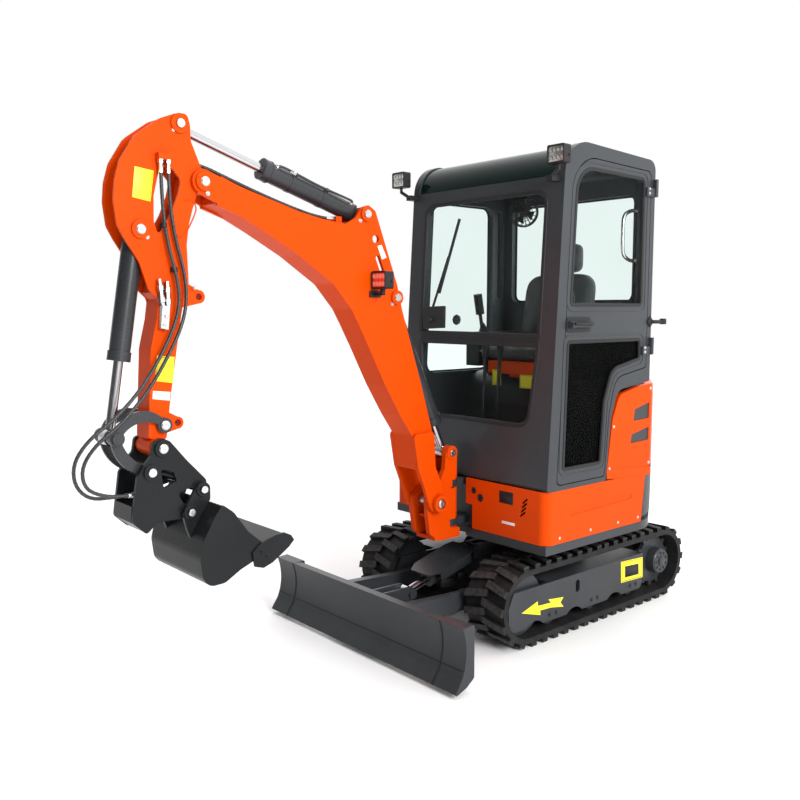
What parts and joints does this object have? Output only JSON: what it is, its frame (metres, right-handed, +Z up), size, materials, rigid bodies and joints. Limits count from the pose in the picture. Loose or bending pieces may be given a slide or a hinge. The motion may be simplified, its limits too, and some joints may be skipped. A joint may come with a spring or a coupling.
{
  "type": "mini excavator",
  "caption": "Compact tracked excavator with a closed cab, a dozer blade, and a swinging boom with an arm, a quick hitch and a wide bucket.",
  "frame": {"origin": "centre of the whole machine's length and width, on the ground under its tracks", "axes": "+X forward along the tracks towards the blade and the bucket, +Y to the operator's left, +Z up"},
  "size_m": [3.1474, 1.3, 2.2092],
  "materials": {
    "track_rubber": "matte, moulded",
    "frame_black": "satin",
    "ring_steel": "satin",
    "rod_chrome": "polished",
    "cylinder_black": "semi-gloss",
    "orange_paint": "gloss",
    "weight_grey": "painted, semi-gloss",
    "cab_grey": "semi-gloss",
    "window_glass": "clear",
    "visor_green": "dark, glossy",
    "black_plastic": "matte",
    "seat_cover": "matte vinyl",
    "engine_iron": "cast",
    "hose_rubber": "braided rubber, matte",
    "tool_black": "satin"
  },
  "bodies": {
    "undercarriage": {"centre_frame": "frame_black", "slew_ring": "ring_steel", "track_frame_left": "frame_black", "track_frame_right": "frame_black", "track_left": "track_rubber", "track_right": "track_rubber", "sprockets": "frame_black", "idlers": "frame_black", "track_rollers": "frame_black"},
    "blade": {"blade": "frame_black", "blade_wings": "frame_black"},
    "blade_barrel": {"blade_cylinder_barrel": "cylinder_black"},
    "blade_rod": {"blade_cylinder_rod": "rod_chrome"},
    "house": {"deck": "frame_black", "front_skirt": "orange_paint", "right_skirt": "orange_paint", "right_cover": "orange_paint", "counterweight": "weight_grey", "engine_block": "engine_iron", "left_cowl": "orange_paint", "cowl_grilles": "black_plastic", "cab_frame": "cab_grey", "roof_visor": "visor_green", "windscreen": "window_glass", "cab_glass": "window_glass", "seat_cushion": "seat_cover", "seat_back": "seat_cover", "seat_stand": "black_plastic", "consoles": "black_plastic", "travel_levers": "black_plastic", "work_lamps": "black_plastic", "wiper": "black_plastic"},
    "hood": {"engine_hood": "orange_paint"},
    "door": {"door": "cab_grey", "door_glass": "window_glass"},
    "swing_post": {"swing_post": "frame_black"},
    "boom": {"boom": "orange_paint", "boom_pins": "ring_steel", "boom_lamp": "black_plastic", "boom_hoses": "hose_rubber"},
    "boom_barrel": {"boom_cylinder_barrel": "cylinder_black"},
    "boom_rod": {"boom_cylinder_rod": "rod_chrome"},
    "arm": {"arm": "orange_paint", "arm_pins": "ring_steel", "hitch_hoses": "hose_rubber"},
    "arm_barrel": {"arm_cylinder_barrel": "cylinder_black"},
    "arm_rod": {"arm_cylinder_rod": "rod_chrome"},
    "bucket_barrel": {"bucket_cylinder_barrel": "cylinder_black"},
    "bucket_rod": {"bucket_cylinder_rod": "rod_chrome"},
    "guide_links": {"guide_links": "cylinder_black"},
    "push_link": {"push_link": "cylinder_black"},
    "bucket": {"quick_hitch": "tool_black", "bucket": "tool_black"}
  },
  "joints": [
    {"name": "slew", "type": "hinge", "parent": "undercarriage", "child": "house", "pos_m": [-0.753, 0, 0.416], "axis": [0, 0, 1], "continuous": true},
    {"name": "blade_lift", "type": "hinge", "parent": "undercarriage", "child": "blade", "pos_m": [-0.423, 0, 0.19], "axis": [0, 1, 0], "range_deg": [-20, 14]},
    {"name": "blade_barrel_pivot", "type": "hinge", "parent": "undercarriage", "child": "blade_barrel", "pos_m": [-0.358, 0, 0.322], "axis": [0, 1, 0], "range_deg": [-22, 16]},
    {"name": "blade_rod_slide", "type": "slide", "parent": "blade_barrel", "child": "blade_rod", "axis": [0.9628, 0, -0.27], "range_m": [-0.05, 0.036]},
    {"name": "hood_lift", "type": "hinge", "parent": "house", "child": "hood", "pos_m": [-0.951, 0.055, 1.174], "axis": [0, 1, 0], "range_deg": [0, 65]},
    {"name": "door_swing", "type": "hinge", "parent": "house", "child": "door", "pos_m": [-0.928, 0.614, 1.7], "axis": [0, 0, 1], "range_deg": [0, 115]},
    {"name": "boom_swing", "type": "hinge", "parent": "house", "child": "swing_post", "pos_m": [-0.123, 0.055, 0.61], "axis": [0, 0, 1], "range_deg": [-50, 65]},
    {"name": "boom_lift", "type": "hinge", "parent": "swing_post", "child": "boom", "pos_m": [0.007, 0.055, 0.632], "axis": [0, 1, 0], "range_deg": [-18, 50]},
    {"name": "boom_barrel_pivot", "type": "hinge", "parent": "boom", "child": "boom_barrel", "pos_m": [0.241, 0.055, 1.552], "axis": [0, 1, 0], "range_deg": [-2, 5]},
    {"name": "boom_rod_slide", "type": "slide", "parent": "boom_barrel", "child": "boom_rod", "axis": [-0.4339, 0, -0.901], "range_m": [-0.066, 0.181]},
    {"name": "arm_reach", "type": "hinge", "parent": "boom", "child": "arm", "pos_m": [1.135, 0.055, 1.951], "axis": [0, 1, 0], "range_deg": [-75, 22], "deforming": ["boom_hoses"]},
    {"name": "arm_barrel_pivot", "type": "hinge", "parent": "boom", "child": "arm_barrel", "pos_m": [0.403, 0.055, 1.889], "axis": [0, 1, 0], "range_deg": [-5.5, 2]},
    {"name": "arm_rod_slide", "type": "slide", "parent": "arm_barrel", "child": "arm_rod", "axis": [0.9547, 0, 0.2975], "range_m": [-0.241, 0.072]},
    {"name": "bucket_curl", "type": "hinge", "parent": "arm", "child": "bucket", "pos_m": [1.329, 0.055, 1.022], "axis": [0, 1, 0], "range_deg": [-105, 45], "deforming": ["hitch_hoses"]},
    {"name": "guide_link_swing", "type": "hinge", "parent": "arm", "child": "guide_links", "pos_m": [1.308, 0.055, 1.1], "axis": [0, 1, 0], "range_deg": [-66, 29]},
    {"name": "push_link_swing", "type": "hinge", "parent": "bucket", "child": "push_link", "pos_m": [1.373, 0.055, 0.943], "axis": [0, 1, 0], "range_deg": [-27, 62]},
    {"name": "bucket_barrel_pivot", "type": "hinge", "parent": "arm", "child": "bucket_barrel", "pos_m": [1.37, 0.055, 1.773], "axis": [0, 1, 0], "range_deg": [-0.5, 0.5]},
    {"name": "bucket_rod_slide", "type": "slide", "parent": "bucket_barrel", "child": "bucket_rod", "axis": [0.1583, 0, -0.9874], "range_m": [-0.184, 0.08]}
  ],
  "couplings": [
    {"joint": "blade_barrel_pivot", "follows": "blade_lift", "ratio": 1.0766},
    {"joint": "blade_rod_slide", "follows": "blade_lift", "m_per_rad": 0.13825},
    {"joint": "boom_barrel_pivot", "follows": "boom_lift", "ratio": 0.0924},
    {"joint": "boom_rod_slide", "follows": "boom_lift", "m_per_rad": 0.20542},
    {"joint": "arm_barrel_pivot", "follows": "arm_reach", "ratio": 0.0664},
    {"joint": "arm_rod_slide", "follows": "arm_reach", "m_per_rad": 0.18302},
    {"joint": "guide_link_swing", "follows": "bucket_curl", "ratio": 0.6188},
    {"joint": "push_link_swing", "follows": "bucket_curl", "ratio": -0.5754},
    {"joint": "bucket_barrel_pivot", "follows": "bucket_curl", "ratio": 0.0027},
    {"joint": "bucket_rod_slide", "follows": "bucket_curl", "m_per_rad": 0.099345}
  ]
}
